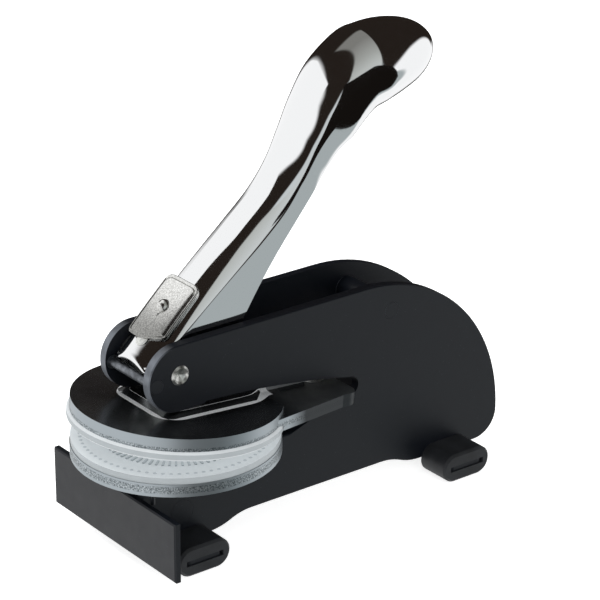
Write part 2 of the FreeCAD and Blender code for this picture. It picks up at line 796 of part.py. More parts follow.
def latch_prism(inset, start, end, bottom):
    side, flat, shoulder, top = latch_section(inset)

    def at(x, height):
        return Vector(x, start, height)

    edges = [arc(at(-flat, shoulder), at(0, top), at(flat, shoulder))]
    edges += polyline([at(flat, shoulder), at(side, shoulder - latch_bevel), at(side, bottom),
                       at(-side, bottom), at(-side, shoulder - latch_bevel), at(-flat, shoulder)])
    return Part.Face(Part.Wire(edges)).extrude(Vector(0, end - start, 0))


def crowned_room(start, end):
    """The room that the lever's crowned front takes up, to be cut from what slides on it."""
    row = (start,) + stations()[0][1:]
    return Part.Face(station_wire(row, -latch_lift, 0)).extrude(Vector(0, end - start, 0))


def latch_plate():
    """Pressed cover that slides on the front of the lever, with a thumb nub and its ramp."""
    end = latch_start + latch_length
    cover = latch_prism(0, latch_start, end, latch_skirt_bottom)
    corners = [edge for edge in cover.Edges
               if abs(edge.tangentAt(edge.FirstParameter).z) > upright_share
               and edge.CenterOfMass.y > end - overrun]
    cover = cover.makeFillet(latch_bevel, corners)
    cover = cover.cut(latch_prism(latch_wall, latch_start - overrun, end - latch_corner_radius,
                                  latch_skirt_bottom - overrun))
    cover = cover.cut(crowned_room(latch_start - overrun, end + overrun))
    nub_centre = latch_top + thumb_nub_rise - thumb_nub_radius
    nub = Part.makeSphere(thumb_nub_radius, side_point(thumb_nub_along, nub_centre))
    ramp = Part.makeCone(thumb_nub_radius, thumb_ramp_tip_radius, thumb_ramp_length,
                         side_point(thumb_nub_along, latch_top - latch_wall / 2), Vector(0, -1, 0))
    raised = nub.fuse(ramp).cut(box_between(
        Vector(-latch_half_width, 0, 0),
        Vector(latch_half_width, end, latch_top - latch_wall / 2)))
    return cover.fuse(raised)


def latch_stem():
    bottom = keeper_rise + keeper_thickness
    return Part.makeCylinder(latch_stem_radius, latch_top - latch_wall - assembly_clearance - bottom,
                             side_point(thumb_nub_along, bottom))


def latch_keeper():
    return box_between(Vector(-keeper_half_width, keeper_start, keeper_rise),
                       Vector(keeper_half_width, keeper_start + keeper_length,
                              keeper_rise + keeper_thickness))


def stop_rivet():
    """Half-round rivet that stands in the lever under the latch's lower lip."""
    front_at_pivot = stations()[1][3]
    seat = front_at_pivot + assembly_clearance / 2
    bottom = front_rise - lever_wall + assembly_clearance
    bow = stop_rivet_rise - stop_rivet_rim
    dome_radius = (stop_rivet_radius * stop_rivet_radius + bow * bow) / (2 * bow)
    dome = Part.makeSphere(dome_radius, side_point(stop_rivet_along, seat + stop_rivet_rise - dome_radius))
    head = Part.makeCylinder(stop_rivet_radius, stop_rivet_rise,
                             side_point(stop_rivet_along, seat)).common(dome)
    return head.fuse(Part.makeCylinder(stop_rivet_shank_radius, seat - bottom,
                                       side_point(stop_rivet_along, bottom)))


save(lever_frame(latch_plate()), "latch_plate")
save(lever_frame(latch_stem()), "latch_stem")
save(lever_frame(latch_keeper()), "latch_keeper")
save(lever_frame(stop_rivet()), "latch_stop_rivet")
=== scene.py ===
import bpy
import bmesh
import numpy as np
from math import cos, pi, radians, sin, sqrt
from mathutils import Matrix, Vector


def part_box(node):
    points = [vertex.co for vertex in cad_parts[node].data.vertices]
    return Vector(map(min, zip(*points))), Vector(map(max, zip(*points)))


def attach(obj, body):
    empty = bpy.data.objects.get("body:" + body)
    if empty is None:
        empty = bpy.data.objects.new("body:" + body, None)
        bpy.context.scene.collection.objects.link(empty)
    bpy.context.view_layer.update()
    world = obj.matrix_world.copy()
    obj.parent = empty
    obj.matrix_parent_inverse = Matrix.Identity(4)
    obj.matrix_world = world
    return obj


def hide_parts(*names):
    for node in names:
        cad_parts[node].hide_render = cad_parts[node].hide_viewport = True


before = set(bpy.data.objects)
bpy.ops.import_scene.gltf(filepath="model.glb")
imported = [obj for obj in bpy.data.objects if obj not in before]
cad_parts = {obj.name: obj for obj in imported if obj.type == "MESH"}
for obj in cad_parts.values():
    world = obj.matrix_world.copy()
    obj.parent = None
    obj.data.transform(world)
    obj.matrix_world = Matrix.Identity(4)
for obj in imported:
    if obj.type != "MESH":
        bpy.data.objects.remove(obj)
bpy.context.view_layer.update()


# Camera: a long lens from the front right, a little above the tool. The lens and the shift come
# from the perspective of the photograph; the axis runs past the pivot.
MM = 0.001
die_axis = -33.7 * MM
camera_turn = radians(53.118)
camera_tilt = radians(24.452)
camera_distance = 628.3 * MM
camera_target = Vector((0, 25 * MM + die_axis, 40 * MM))

camera_data = bpy.data.cameras.new("camera")
camera_data.sensor_width = 36
camera_data.lens = 156.05
camera_data.shift_x = 0.0671
camera_data.shift_y = 0.0980
camera_data.clip_start = 0.01
camera = bpy.data.objects.new("camera", camera_data)
bpy.context.collection.objects.link(camera)
back = Vector((sin(camera_turn) * cos(camera_tilt), -cos(camera_turn) * cos(camera_tilt), sin(camera_tilt)))
camera.location = camera_target + camera_distance * back
camera.rotation_euler = back.to_track_quat("Z", "Y").to_euler()
scene = bpy.context.scene
scene.camera = camera
scene.view_settings.view_transform = "Standard"


# Studio: a pale room, a white paper floor that keeps a soft shadow, and three soft lamps. Bright
# metal sees a darker room of its own, with white paper low down, a blind and a few cards.
def linear(hex_code):
    """An sRGB hex colour as linear red, green, blue and alpha."""
    channels = [int(hex_code[i:i + 2], 16) / 255 for i in (1, 3, 5)]
    return tuple(c / 12.92 if c <= 0.04045 else ((c + 0.055) / 1.055) ** 2.4 for c in channels) + (1.0,)


def add(tree, kind, links=None, sockets=None, **settings):
    """Add a node with its settings, its fixed inputs and the outputs that feed its other inputs."""
    node = tree.nodes.new(kind)
    for name, value in settings.items():
        setattr(node, name, value)
    for name, value in (sockets or {}).items():
        node.inputs[name].default_value = value
    for name, output in (links or {}).items():
        tree.links.new(output, node.inputs[name])
    return node


def ramp(tree, value, stops):
    """A colour ramp through places and hex colours."""
    node = add(tree, "ShaderNodeValToRGB", links={"Fac": value})
    while len(node.color_ramp.elements) < len(stops):
        node.color_ramp.elements.new(0.5)
    for element, (place, colour) in zip(node.color_ramp.elements, stops):
        element.position = place
        element.color = linear(colour)
    return node.outputs["Color"]


def new_material(name):
    """An empty material and its node tree."""
    material = bpy.data.materials.new(name)
    material.use_nodes = True
    material.node_tree.nodes.clear()
    return material, material.node_tree


def aimed(azimuth, elevation):
    """The direction at an azimuth from the front towards the right side, and an elevation."""
    a, e = radians(azimuth), radians(elevation)
    return Vector((sin(a) * cos(e), -cos(a) * cos(e), sin(e)))


def disc(tree, direction, azimuth, elevation, radius, soft):
    """1 inside a round patch of the room, falling off smoothly over its edge, in degrees."""
    level = add(tree, "ShaderNodeVectorMath", operation="DOT_PRODUCT", links={0: direction})
    level.inputs[1].default_value = aimed(azimuth, elevation)
    return add(tree, "ShaderNodeMapRange", links={"Value": level.outputs["Value"]},
               interpolation_type="SMOOTHSTEP",
               sockets={"From Min": cos(radians(radius + soft)), "From Max": cos(radians(radius - soft))}).outputs[0]


def within(tree, value, low, high, soft):
    """1 between two limits, falling off smoothly over a soft edge."""
    rise = add(tree, "ShaderNodeMapRange", links={"Value": value}, interpolation_type="SMOOTHSTEP",
               sockets={"From Min": low - soft, "From Max": low + soft})
    fall = add(tree, "ShaderNodeMapRange", links={"Value": value}, interpolation_type="SMOOTHSTEP",
               sockets={"From Min": high - soft, "From Max": high + soft, "To Min": 1.0, "To Max": 0.0})
    both = add(tree, "ShaderNodeMath", operation="MULTIPLY", links={0: rise.outputs[0], 1: fall.outputs[0]})
    return both.outputs[0]


room = bpy.data.worlds.new("studio_room")
room.use_nodes = True
room.node_tree.nodes.clear()
tree = room.node_tree
path = add(tree, "ShaderNodeLightPath")
direction = add(tree, "ShaderNodeTexCoord").outputs["Generated"]
# Azimuth, elevation, radius and softness in degrees, and colour, of each round part of the room:
# white paper to the front left, white floor and wall to the rear, a shaded floor and a lit screen to
# the right, and a dark corner to the rear left.
room_parts = (
    (-30, -30, 74, 3.5, "#ffffff"),
    (-175, -45, 38, 4.0, "#ffffff"),
    (158, -14, 36, 3.0, "#ffffff"),
    (126, -33, 18, 3.0, "#a9b0b1"),
    (84, 8, 25, 3.0, "#c9cecf"),
    (-127, -24, 21, 6.0, "#2a2725"),
)
seen_in_metal = add(tree, "ShaderNodeRGB").outputs[0]
seen_in_metal.default_value = linear("#241e1a")
for azimuth, elevation, radius, soft, tone in room_parts:
    seen_in_metal = add(tree, "ShaderNodeMix", data_type="RGBA",
                        links={0: disc(tree, direction, azimuth, elevation, radius, soft), 6: seen_in_metal},
                        sockets={7: linear(tone)}).outputs[2]
# A window blind rises on the right and leans over the table; it dims on its way up.
blind_low, blind_high, blind_left, blind_right, blind_span = -3, 122, -0.24, 0.32, 120.0
apart = add(tree, "ShaderNodeSeparateXYZ", links={0: direction})
rise = add(tree, "ShaderNodeMath", operation="ARCTAN2", links={0: apart.outputs["Z"], 1: apart.outputs["X"]})
risen = add(tree, "ShaderNodeMath", operation="DEGREES", links={0: rise.outputs[0]})
blind = add(tree, "ShaderNodeMath", operation="MULTIPLY",
            links={0: within(tree, risen.outputs[0], blind_low, blind_high, 3),
                   1: within(tree, apart.outputs["Y"], blind_left, blind_right, 0.02)})
up_blind = add(tree, "ShaderNodeMath", operation="DIVIDE", links={0: risen.outputs[0]}, sockets={1: blind_span})
blind_tone = ramp(tree, up_blind.outputs[0],
                  ((0.0, "#cdd1d1"), (0.25, "#bbbebb"), (0.45, "#a4a6a2"), (0.8, "#7f7e7a")))
seen_in_metal = add(tree, "ShaderNodeMix", data_type="RGBA",
                    links={0: blind.outputs[0], 6: seen_in_metal, 7: blind_tone}).outputs[2]
mirror_strength = 1.15
plain = add(tree, "ShaderNodeBackground", sockets={"Color": linear("#f6f8fa"), "Strength": 0.62})
mirror = add(tree, "ShaderNodeBackground", links={"Color": seen_in_metal}, sockets={"Strength": mirror_strength})
white = add(tree, "ShaderNodeBackground", sockets={"Color": (1, 1, 1, 1), "Strength": 1.0})
lit = add(tree, "ShaderNodeMixShader",
          links={0: path.outputs["Is Glossy Ray"], 1: plain.outputs[0], 2: mirror.outputs[0]})
shown = add(tree, "ShaderNodeMixShader",
            links={0: path.outputs["Is Camera Ray"], 1: lit.outputs[0], 2: white.outputs[0]})
add(tree, "ShaderNodeOutputWorld", links={"Surface": shown.outputs[0]})
scene.world = room

floor_mesh = bpy.data.meshes.new("floor")
floor_mesh.from_pydata([(-4, -4, 0), (4, -4, 0), (4, 4, 0), (-4, 4, 0)], [], [(0, 1, 2, 3)])
floor = bpy.data.objects.new("floor", floor_mesh)
bpy.context.collection.objects.link(floor)
floor_material, tree = new_material("white paper floor")
path = add(tree, "ShaderNodeLightPath")
paper = add(tree, "ShaderNodeBsdfDiffuse", sockets={"Color": linear("#f2f2f1")})
glow = add(tree, "ShaderNodeEmission", sockets={"Color": (1, 1, 1, 1), "Strength": 0.8})
sum_of = add(tree, "ShaderNodeAddShader", links={0: paper.outputs[0], 1: glow.outputs[0]})
seen = add(tree, "ShaderNodeMixShader",
           links={0: path.outputs["Is Camera Ray"], 1: paper.outputs[0], 2: sum_of.outputs[0]})
add(tree, "ShaderNodeOutputMaterial", links={"Surface": seen.outputs[0]})
floor_mesh.materials.append(floor_material)
floor.visible_glossy = False


def lamp(name, place, aim, width, depth, watts):
    """A soft rectangular lamp, in metres, that polished metal doesn't show."""
    data = bpy.data.lights.new(name, "AREA")
    data.shape = "RECTANGLE"
    data.size = width
    data.size_y = depth
    data.energy = watts
    holder = bpy.data.objects.new(name, data)
    bpy.context.collection.objects.link(holder)
    holder.visible_glossy = False
    holder.location = Vector(place)
    holder.rotation_euler = (Vector(place) - Vector(aim)).to_track_quat("Z", "Y").to_euler()


lamp("top_lamp", (-0.25, -0.35, 0.9), (0, 0, 0.05), 0.5, 0.5, 3.2)
lamp("right_strip", (0.85, -0.20, 0.42), (0, 0, 0.06), 0.16, 0.5, 1.0)
lamp("rear_panel", (-0.6, 0.75, 0.42), (0, 0, 0.03), 0.7, 0.22, 1.5)

# Cards that only glossy surfaces see, as a photographer sets them round chrome: a black flag to the
# right of the lever's head, and a white card to the front left of its stem.
def card(name, corners, tone):
    """A card of one tone that casts no shadow and is seen only in reflections."""
    mesh = bpy.data.meshes.new(name)
    mesh.from_pydata(corners, [], [tuple(range(len(corners)))])
    finish, tree = new_material(name)
    cloth = add(tree, "ShaderNodeEmission", sockets={"Color": linear(tone), "Strength": mirror_strength})
    add(tree, "ShaderNodeOutputMaterial", links={"Surface": cloth.outputs[0]})
    mesh.materials.append(finish)
    made = bpy.data.objects.new(name, mesh)
    bpy.context.collection.objects.link(made)
    made.visible_camera = made.visible_diffuse = made.visible_shadow = made.visible_transmission = False


lever_head = Vector((0, 24.5, 107)) * MM
flag_distance = 55 * MM
flag_parts = (((52, 24), (52, -32), (90, -42), (92, 19)), ((92, 19), (90, -42), (126, -43), (114, 2)),
              ((114, 2), (126, -43), (127, -22)))
for number, corners in enumerate(flag_parts):
    card("head_flag_%d" % number, [lever_head + flag_distance * aimed(*corner) for corner in corners], "#14110f")
white_card_height = 150
white_card_corners = ((10, -42), (9, -60), (-9, -69), (-25, -76), (-32, -86), (-70, -96), (-200, -100), (-200, 20),
                      (-60, -10), (-30, -25))
card("stem_white", [Vector((x, y, white_card_height)) * MM for x, y in white_card_corners], "#ffffff")


# Steel plate pieces: the two cheeks, the spacers across them, the foot bars and the front plate,
# blanked from mild steel and finished in black polyester powder coat, baked after assembly.
def object_place(tree):
    """The place on the piece, as the part lies in its own frame."""
    return add(tree, "ShaderNodeTexCoord").outputs["Object"]


def dress(material, *nodes):
    """Give CAD nodes a finish through their own material slots."""
    for name in nodes:
        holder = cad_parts[name]
        if not holder.material_slots:
            holder.data.materials.append(material)
        for held in holder.material_slots:
            held.material = material


def coat_colours(tree, place):
    """Charcoal with pale dust specks."""
    specks = add(tree, "ShaderNodeTexVoronoi", links={"Vector": place},
                 sockets={"Scale": 1 / (1.5 * MM), "Randomness": 1.0})
    return ramp(tree, specks.outputs["Distance"], ((0.0, "#4a4f57"), (0.07, "#171b23"), (0.10, "#0f131a")))


def powder_coat():
    """Polyester powder coat: satin charcoal, faint orange peel of 0.45 mm, pale dust specks, and a
    painted highlight: a patchy lighter grey on the front-facing cut edges of the cheeks' noses."""
    material, tree = new_material("black polyester powder coat")
    coordinates = add(tree, "ShaderNodeTexCoord")
    place = coordinates.outputs["Object"]
    peel = add(tree, "ShaderNodeTexNoise", links={"Vector": place},
               sockets={"Scale": 1 / (0.45 * MM), "Detail": 2.0})
    cloud = add(tree, "ShaderNodeTexNoise", links={"Vector": place},
                sockets={"Scale": 1 / (3 * MM), "Detail": 4.0})
    facing = add(tree, "ShaderNodeSeparateXYZ", links={0: coordinates.outputs["Normal"]})
    where = add(tree, "ShaderNodeSeparateXYZ", links={0: place})
    # Painted highlight: the front-facing cut edges of the noses are painted a lighter grey, in patches.
    to_front = add(tree, "ShaderNodeMapRange", links={"Value": facing.outputs["Y"]},
                   sockets={"From Min": -0.15, "From Max": -0.8})
    at_nose = add(tree, "ShaderNodeMapRange", links={"Value": where.outputs["Z"]},
                  sockets={"From Min": 38 * MM, "From Max": 40 * MM})
    across = add(tree, "ShaderNodeMath", operation="ABSOLUTE", links={0: where.outputs["X"]})
    on_cheek = add(tree, "ShaderNodeMath", operation="GREATER_THAN", links={0: across.outputs[0]},
                   sockets={1: 7.7 * MM})
    nose_highlight = add(tree, "ShaderNodeMath", operation="MULTIPLY",
                 links={0: to_front.outputs[0], 1: at_nose.outputs[0]})
    nose_highlight = add(tree, "ShaderNodeMath", operation="MULTIPLY",
                 links={0: nose_highlight.outputs[0], 1: on_cheek.outputs[0]})
    patchy = add(tree, "ShaderNodeMapRange", links={"Value": cloud.outputs["Fac"]},
                 sockets={"From Min": 0.3, "From Max": 0.6, "To Min": 0.55, "To Max": 1.0})
    share = add(tree, "ShaderNodeMath", operation="MULTIPLY", links={0: nose_highlight.outputs[0], 1: patchy.outputs[0]})
    tone = add(tree, "ShaderNodeMix", data_type="RGBA", links={0: share.outputs[0], 6: coat_colours(tree, place)},
               sockets={7: linear("#7d828a")})
    rough = add(tree, "ShaderNodeMapRange", links={"Value": cloud.outputs["Fac"]},
                sockets={"To Min": 0.36, "To Max": 0.5})
    bump = add(tree, "ShaderNodeBump", links={"Height": peel.outputs["Fac"]},
               sockets={"Strength": 0.16, "Distance": 0.05 * MM})
    coat = add(tree, "ShaderNodeBsdfPrincipled",
               links={"Base Color": tone.outputs[2], "Roughness": rough.outputs[0], "Normal": bump.outputs[0]},
               sockets={"IOR": 1.4})
    add(tree, "ShaderNodeOutputMaterial", links={"Surface": coat.outputs[0]})
    return material


dress(powder_coat(), "left_cheek", "right_cheek", "rear_spacer", "lower_spacer", "front_foot_bar",
      "rear_foot_bar", "front_plate")


# Feet: four sleeves of black nitrile rubber, moulded, pushed onto the ends of the foot bars.
def moulded_rubber():
    """Moulded rubber: matte, with the 0.3 mm grain of the mould and a grey bloom."""
    material, tree = new_material("black moulded rubber")
    place = object_place(tree)
    grain = add(tree, "ShaderNodeTexNoise", links={"Vector": place},
                sockets={"Scale": 1 / (0.3 * MM), "Detail": 3.0})
    bloom = add(tree, "ShaderNodeTexNoise", links={"Vector": place},
                sockets={"Scale": 1 / (5 * MM), "Detail": 3.0})
    tone = ramp(tree, bloom.outputs["Fac"], ((0.3, "#1c1e21"), (0.7, "#2a2c30")))
    bump = add(tree, "ShaderNodeBump", links={"Height": grain.outputs["Fac"]},
               sockets={"Strength": 0.3, "Distance": 0.05 * MM})
    rubber = add(tree, "ShaderNodeBsdfPrincipled", links={"Base Color": tone, "Normal": bump.outputs[0]},
                 sockets={"Roughness": 0.62, "IOR": 1.5})
    add(tree, "ShaderNodeOutputMaterial", links={"Surface": rubber.outputs[0]})
    return material


dress(moulded_rubber(), "front_left_foot", "front_right_foot", "rear_left_foot", "rear_right_foot")


# Bars, rivets, washers, pins and the cam: mild steel under bright zinc, turned or blanked.
def zinc_plate():
    """Bright zinc: a satin metal with a grey mottle of 0.9 mm and a fine grain of 0.2 mm."""
    material, tree = new_material("bright zinc plate on steel")
    place = object_place(tree)
    mottle = add(tree, "ShaderNodeTexNoise", links={"Vector": place},
                 sockets={"Scale": 1 / (0.9 * MM), "Detail": 4.0})
    tone = ramp(tree, mottle.outputs["Fac"], ((0.3, "#b4b6b4"), (0.7, "#e4e5e1")))
    fine = add(tree, "ShaderNodeTexNoise", links={"Vector": place},
               sockets={"Scale": 1 / (0.2 * MM), "Detail": 2.0})
    bump = add(tree, "ShaderNodeBump", links={"Height": fine.outputs["Fac"]},
               sockets={"Strength": 0.2, "Distance": 0.03 * MM})
    metal = add(tree, "ShaderNodeBsdfPrincipled", links={"Base Color": tone, "Normal": bump.outputs[0]},
                sockets={"Metallic": 1.0, "Roughness": 0.34})
    add(tree, "ShaderNodeOutputMaterial", links={"Surface": metal.outputs[0]})
    return material


def barrel_zinc():
    """The cross bar: dull blue-grey zinc between the cheeks, coated over at its ends."""
    material, tree = new_material("dull zinc with coated ends")
    place = object_place(tree)
    where = add(tree, "ShaderNodeSeparateXYZ", links={0: place})
    off_middle = add(tree, "ShaderNodeMath", operation="ABSOLUTE", links={0: where.outputs["X"]})
    coated = add(tree, "ShaderNodeMath", operation="GREATER_THAN", links={0: off_middle.outputs[0]},
                 sockets={1: 8.5 * MM})
    mottle = add(tree, "ShaderNodeTexNoise", links={"Vector": place},
                 sockets={"Scale": 1 / (1.2 * MM), "Detail": 3.0})
    tone = ramp(tree, mottle.outputs["Fac"], ((0.3, "#54575c"), (0.7, "#84888e")))
    both = add(tree, "ShaderNodeMix", data_type="RGBA",
               links={0: coated.outputs[0], 6: tone, 7: coat_colours(tree, place)})
    bare = add(tree, "ShaderNodeMath", operation="SUBTRACT", links={1: coated.outputs[0]}, sockets={0: 1.0})
    metal = add(tree, "ShaderNodeBsdfPrincipled",
                links={"Base Color": both.outputs[2], "Metallic": bare.outputs[0]}, sockets={"Roughness": 0.42})
    add(tree, "ShaderNodeOutputMaterial", links={"Surface": metal.outputs[0]})
    return material


dress(barrel_zinc(), "front_cross_bar", "locating_pins")
dress(zinc_plate(), "pivot_rivet", "pivot_washers", "press_cam", "cam_rivet", "clip_rivets",
      "clip_block", "latch_stem", "latch_keeper", "latch_stop_rivet")


# Leaves of the die clip: 3.2 mm spring steel, rolled smooth and oiled, so that the faces mirror the
# dark of the room. Blanking leaves a burnished band on the rims above a torn, glittering one. The
# rims of the tails are painted dark, a painted shade for the shadow under the arms.
def leaf_finish(name, hinge_turn, torn_from, torn_to):
    """Rolled faces, told from rims by the surface's own direction; on the rims the torn band lies
    between two heights, measured square to the leaf. Towards the tail the rims are painted dark as
    painted shade, and the faces grow rougher."""
    material, tree = new_material(name)
    coordinates = add(tree, "ShaderNodeTexCoord")
    place = coordinates.outputs["Object"]
    facing = add(tree, "ShaderNodeSeparateXYZ", links={0: coordinates.outputs["Normal"]})
    where = add(tree, "ShaderNodeSeparateXYZ", links={0: place})
    up = add(tree, "ShaderNodeMath", operation="ABSOLUTE", links={0: facing.outputs["Z"]})
    face = add(tree, "ShaderNodeMapRange", links={"Value": up.outputs[0]},
               sockets={"From Min": 0.3, "From Max": 0.5})
    cloud = add(tree, "ShaderNodeTexNoise", links={"Vector": place},
                sockets={"Scale": 1 / (9 * MM), "Detail": 4.0})
    rolled = ramp(tree, cloud.outputs["Fac"], ((0.3, "#7f8285"), (0.7, "#a3a6a8")))
    torn = add(tree, "ShaderNodeTexNoise", links={"Vector": place},
               sockets={"Scale": 1 / (0.32 * MM), "Detail": 3.0})
    glitter = ramp(tree, torn.outputs["Fac"], ((0.36, "#62686c"), (0.5, "#8d9599"), (0.66, "#bcc3c7")))
    wander = add(tree, "ShaderNodeTexNoise", links={"Vector": place},
                 sockets={"Scale": 1 / (2.5 * MM), "Detail": 3.0})
    behind = add(tree, "ShaderNodeMath", operation="SUBTRACT", links={0: where.outputs["Y"]},
                 sockets={1: clip_hinge.y})
    sunk = add(tree, "ShaderNodeMath", operation="MULTIPLY", links={0: behind.outputs[0]},
               sockets={1: -sin(hinge_turn)})
    above = add(tree, "ShaderNodeMath", operation="SUBTRACT", links={0: where.outputs["Z"]},
                sockets={1: clip_hinge.z})
    square = add(tree, "ShaderNodeMath", operation="MULTIPLY", links={0: above.outputs[0]},
                 sockets={1: cos(hinge_turn)})
    level = add(tree, "ShaderNodeMath", operation="SUBTRACT", links={0: square.outputs[0], 1: sunk.outputs[0]})
    drift = add(tree, "ShaderNodeMath", operation="MULTIPLY_ADD",
                links={0: wander.outputs["Fac"], 2: level.outputs[0]}, sockets={1: 0.5 * MM})
    share = within(tree, drift.outputs[0], torn_from, torn_to, 0.12 * MM)
    # Painted shade: the rims darken towards the tail, which lies in the shadow under the arms; the tail's faces also
    # grow rougher.
    toward_shaded_tail = add(tree, "ShaderNodeMapRange", links={"Value": where.outputs["Y"]},
                  sockets={"From Min": -15 * MM, "From Max": -9 * MM})
    band = ramp(tree, toward_shaded_tail.outputs[0], ((0.0, "#a3abb0"), (1.0, "#3c3f41")))
    shaded_tail_glitter = add(tree, "ShaderNodeMix", data_type="RGBA", links={0: toward_shaded_tail.outputs[0], 6: glitter},
                    sockets={7: linear("#3a3d3f")})
    rim = add(tree, "ShaderNodeMix", data_type="RGBA", links={0: share, 6: band, 7: shaded_tail_glitter.outputs[2]})
    tone = add(tree, "ShaderNodeMix", data_type="RGBA",
               links={0: face.outputs[0], 6: rim.outputs[2], 7: rolled})
    rough_face = add(tree, "ShaderNodeMapRange", links={"Value": toward_shaded_tail.outputs[0]},
                     sockets={"To Min": 0.26, "To Max": 0.5})
    rough = add(tree, "ShaderNodeMapRange", links={"Value": face.outputs[0], "To Max": rough_face.outputs[0]},
                sockets={"To Min": 0.42})
    weight = add(tree, "ShaderNodeMath", operation="MULTIPLY", links={0: share}, sockets={1: 0.5})
    bump = add(tree, "ShaderNodeBump", links={"Height": torn.outputs["Fac"], "Strength": weight.outputs[0]},
               sockets={"Distance": 0.08 * MM})
    steel = add(tree, "ShaderNodeBsdfPrincipled",
                links={"Base Color": tone.outputs[2], "Roughness": rough.outputs[0], "Normal": bump.outputs[0]},
                sockets={"Metallic": 1.0})
    add(tree, "ShaderNodeOutputMaterial", links={"Surface": steel.outputs[0]})
    return material


clip_hinge = Vector((0, 41.5 * MM + die_axis, 29.1 * MM))
clip_opening = radians(4.5)
lower_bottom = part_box("lower_leaf")[0][2] - clip_hinge.z
dress(leaf_finish("oiled spring steel, upper leaf", clip_opening, 1.3 * MM, 2.5 * MM), "upper_leaf")
dress(leaf_finish("oiled spring steel, lower leaf", 0.0, lower_bottom + 1.1 * MM, lower_bottom + 2.9 * MM),
      "lower_leaf")


# Sweep at the foot of the ridge: the press draws the upper leaf up to the ridge in one smooth
# concave curve, painted near white as a painted highlight. It is laid out closed, in millimetres:
# half of its plan outline from the front to the rear, then its reach out from the ridge against its fall.
ridge_outline = ((0.0, -8.8), (3.0, -8.8), (5.6, -8.8), (7.2, -8.8), (8.16, -8.16), (8.76, -7.2), (9.4, -6.6),
                 (9.4, -3.0), (9.4, 2.0), (9.4, 7.0), (9.4, 11.0), (9.4, 14.5), (8.6, 16.2), (7.7, 17.8),
                 (6.9, 19.0), (6.9, 21.0))
ridge_sweep = ((0.0, 0.0), (0.05, 0.09), (0.15, 0.24), (0.3, 0.41), (0.5, 0.56), (0.75, 0.68), (1.1, 0.775),
               (1.6, 0.835), (2.3, 0.862), (3.0, 0.87))
ridge_top = 34.59 * MM


def corner_normals(points):
    """Outward directions at the points of a plan outline that runs from the front to the rear."""
    normals = []
    for i in range(len(points)):
        (ax, ay), (bx, by) = points[max(i - 1, 0)], points[min(i + 1, len(points) - 1)]
        along = Vector((bx - ax, by - ay)).normalized()
        normals.append((along.y, -along.x))
    normals[0] = (0.0, -1.0)
    return normals


def finished(mesh, name):
    """Point a mesh's faces outwards, smooth them and put it in an object."""
    bmesh.ops.recalc_face_normals(mesh, faces=mesh.faces)
    data = bpy.data.meshes.new(name)
    mesh.to_mesh(data)
    mesh.free()
    data.polygons.foreach_set("use_smooth", [True] * len(data.polygons))
    made = bpy.data.objects.new(name, data)
    bpy.context.collection.objects.link(made)
    return made


def thicken(made, thickness):
    """Give a skin its sheet thickness inwards, with crisp cut edges."""
    wall = made.modifiers.new("wall", "SOLIDIFY")
    wall.thickness = thickness
    wall.offset = -1
    ready = made.evaluated_get(bpy.context.evaluated_depsgraph_get())
    mesh = bpy.data.meshes.new_from_object(ready)
    mesh.set_sharp_from_angle(angle=radians(50))
    made.modifiers.clear()
    made.data = mesh


sweep_mesh = bmesh.new()
fine_outline = []
for (ax, ay), (bx, by) in zip(ridge_outline[:-1], ridge_outline[1:]):
    fine_outline += [(ax + (bx - ax) * k / 4, ay + (by - ay) * k / 4) for k in range(4)]
fine_outline.append(ridge_outline[-1])
for _ in range(6):
    fine_outline = [fine_outline[0]] + [
        ((a[0] + 2 * b[0] + c[0]) / 4, (a[1] + 2 * b[1] + c[1]) / 4)
        for a, b, c in zip(fine_outline[:-2], fine_outline[1:-1], fine_outline[2:])] + [fine_outline[-1]]
outward = corner_normals(fine_outline)
lift_turn = Matrix.Rotation(-clip_opening, 4, "X")
for side in (1, -1):
    rows = []
    for reach, fall in ridge_sweep:
        row = []
        for (x, y), (nx, ny) in zip(fine_outline, outward):
            flat = Vector((side * (x + reach * nx) * MM, (y + reach * ny) * MM + die_axis, ridge_top - fall * MM))
            row.append(sweep_mesh.verts.new(clip_hinge + lift_turn @ (flat - clip_hinge)))
        rows.append(row)
    for low, high in zip(rows[:-1], rows[1:]):
        for i in range(len(low) - 1):
            sweep_mesh.faces.new((low[i], low[i + 1], high[i + 1], high[i]))
bmesh.ops.remove_doubles(sweep_mesh, verts=sweep_mesh.verts, dist=0.01 * MM)
ridge_foot = finished(sweep_mesh, "ridge_foot")
if sum(face.normal.z for face in ridge_foot.data.polygons) < 0:
    ridge_foot.data.flip_normals()
thicken(ridge_foot, 0.12 * MM)


def sweep_highlight_paint():
    """Steel painted near white as a painted highlight where the press drew it; satin, with faint draw lines of 0.5
    mm.
    """
    material, tree = new_material("spring steel painted white as highlight")
    place = object_place(tree)
    lines = add(tree, "ShaderNodeTexNoise", links={"Vector": place},
                sockets={"Scale": 1 / (0.5 * MM), "Detail": 3.0})
    # Painted highlight: near white with almost no metal, so the lamps light it like paper.
    tone = ramp(tree, lines.outputs["Fac"], ((0.3, "#e2e6e8"), (0.7, "#ffffff")))
    steel = add(tree, "ShaderNodeBsdfPrincipled", links={"Base Color": tone},
                sockets={"Metallic": 0.08, "Roughness": 0.28, "IOR": 1.8})
    add(tree, "ShaderNodeOutputMaterial", links={"Surface": steel.outputs[0]})
    return material


ridge_foot.data.materials.append(sweep_highlight_paint())
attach(ridge_foot, "clip_body")
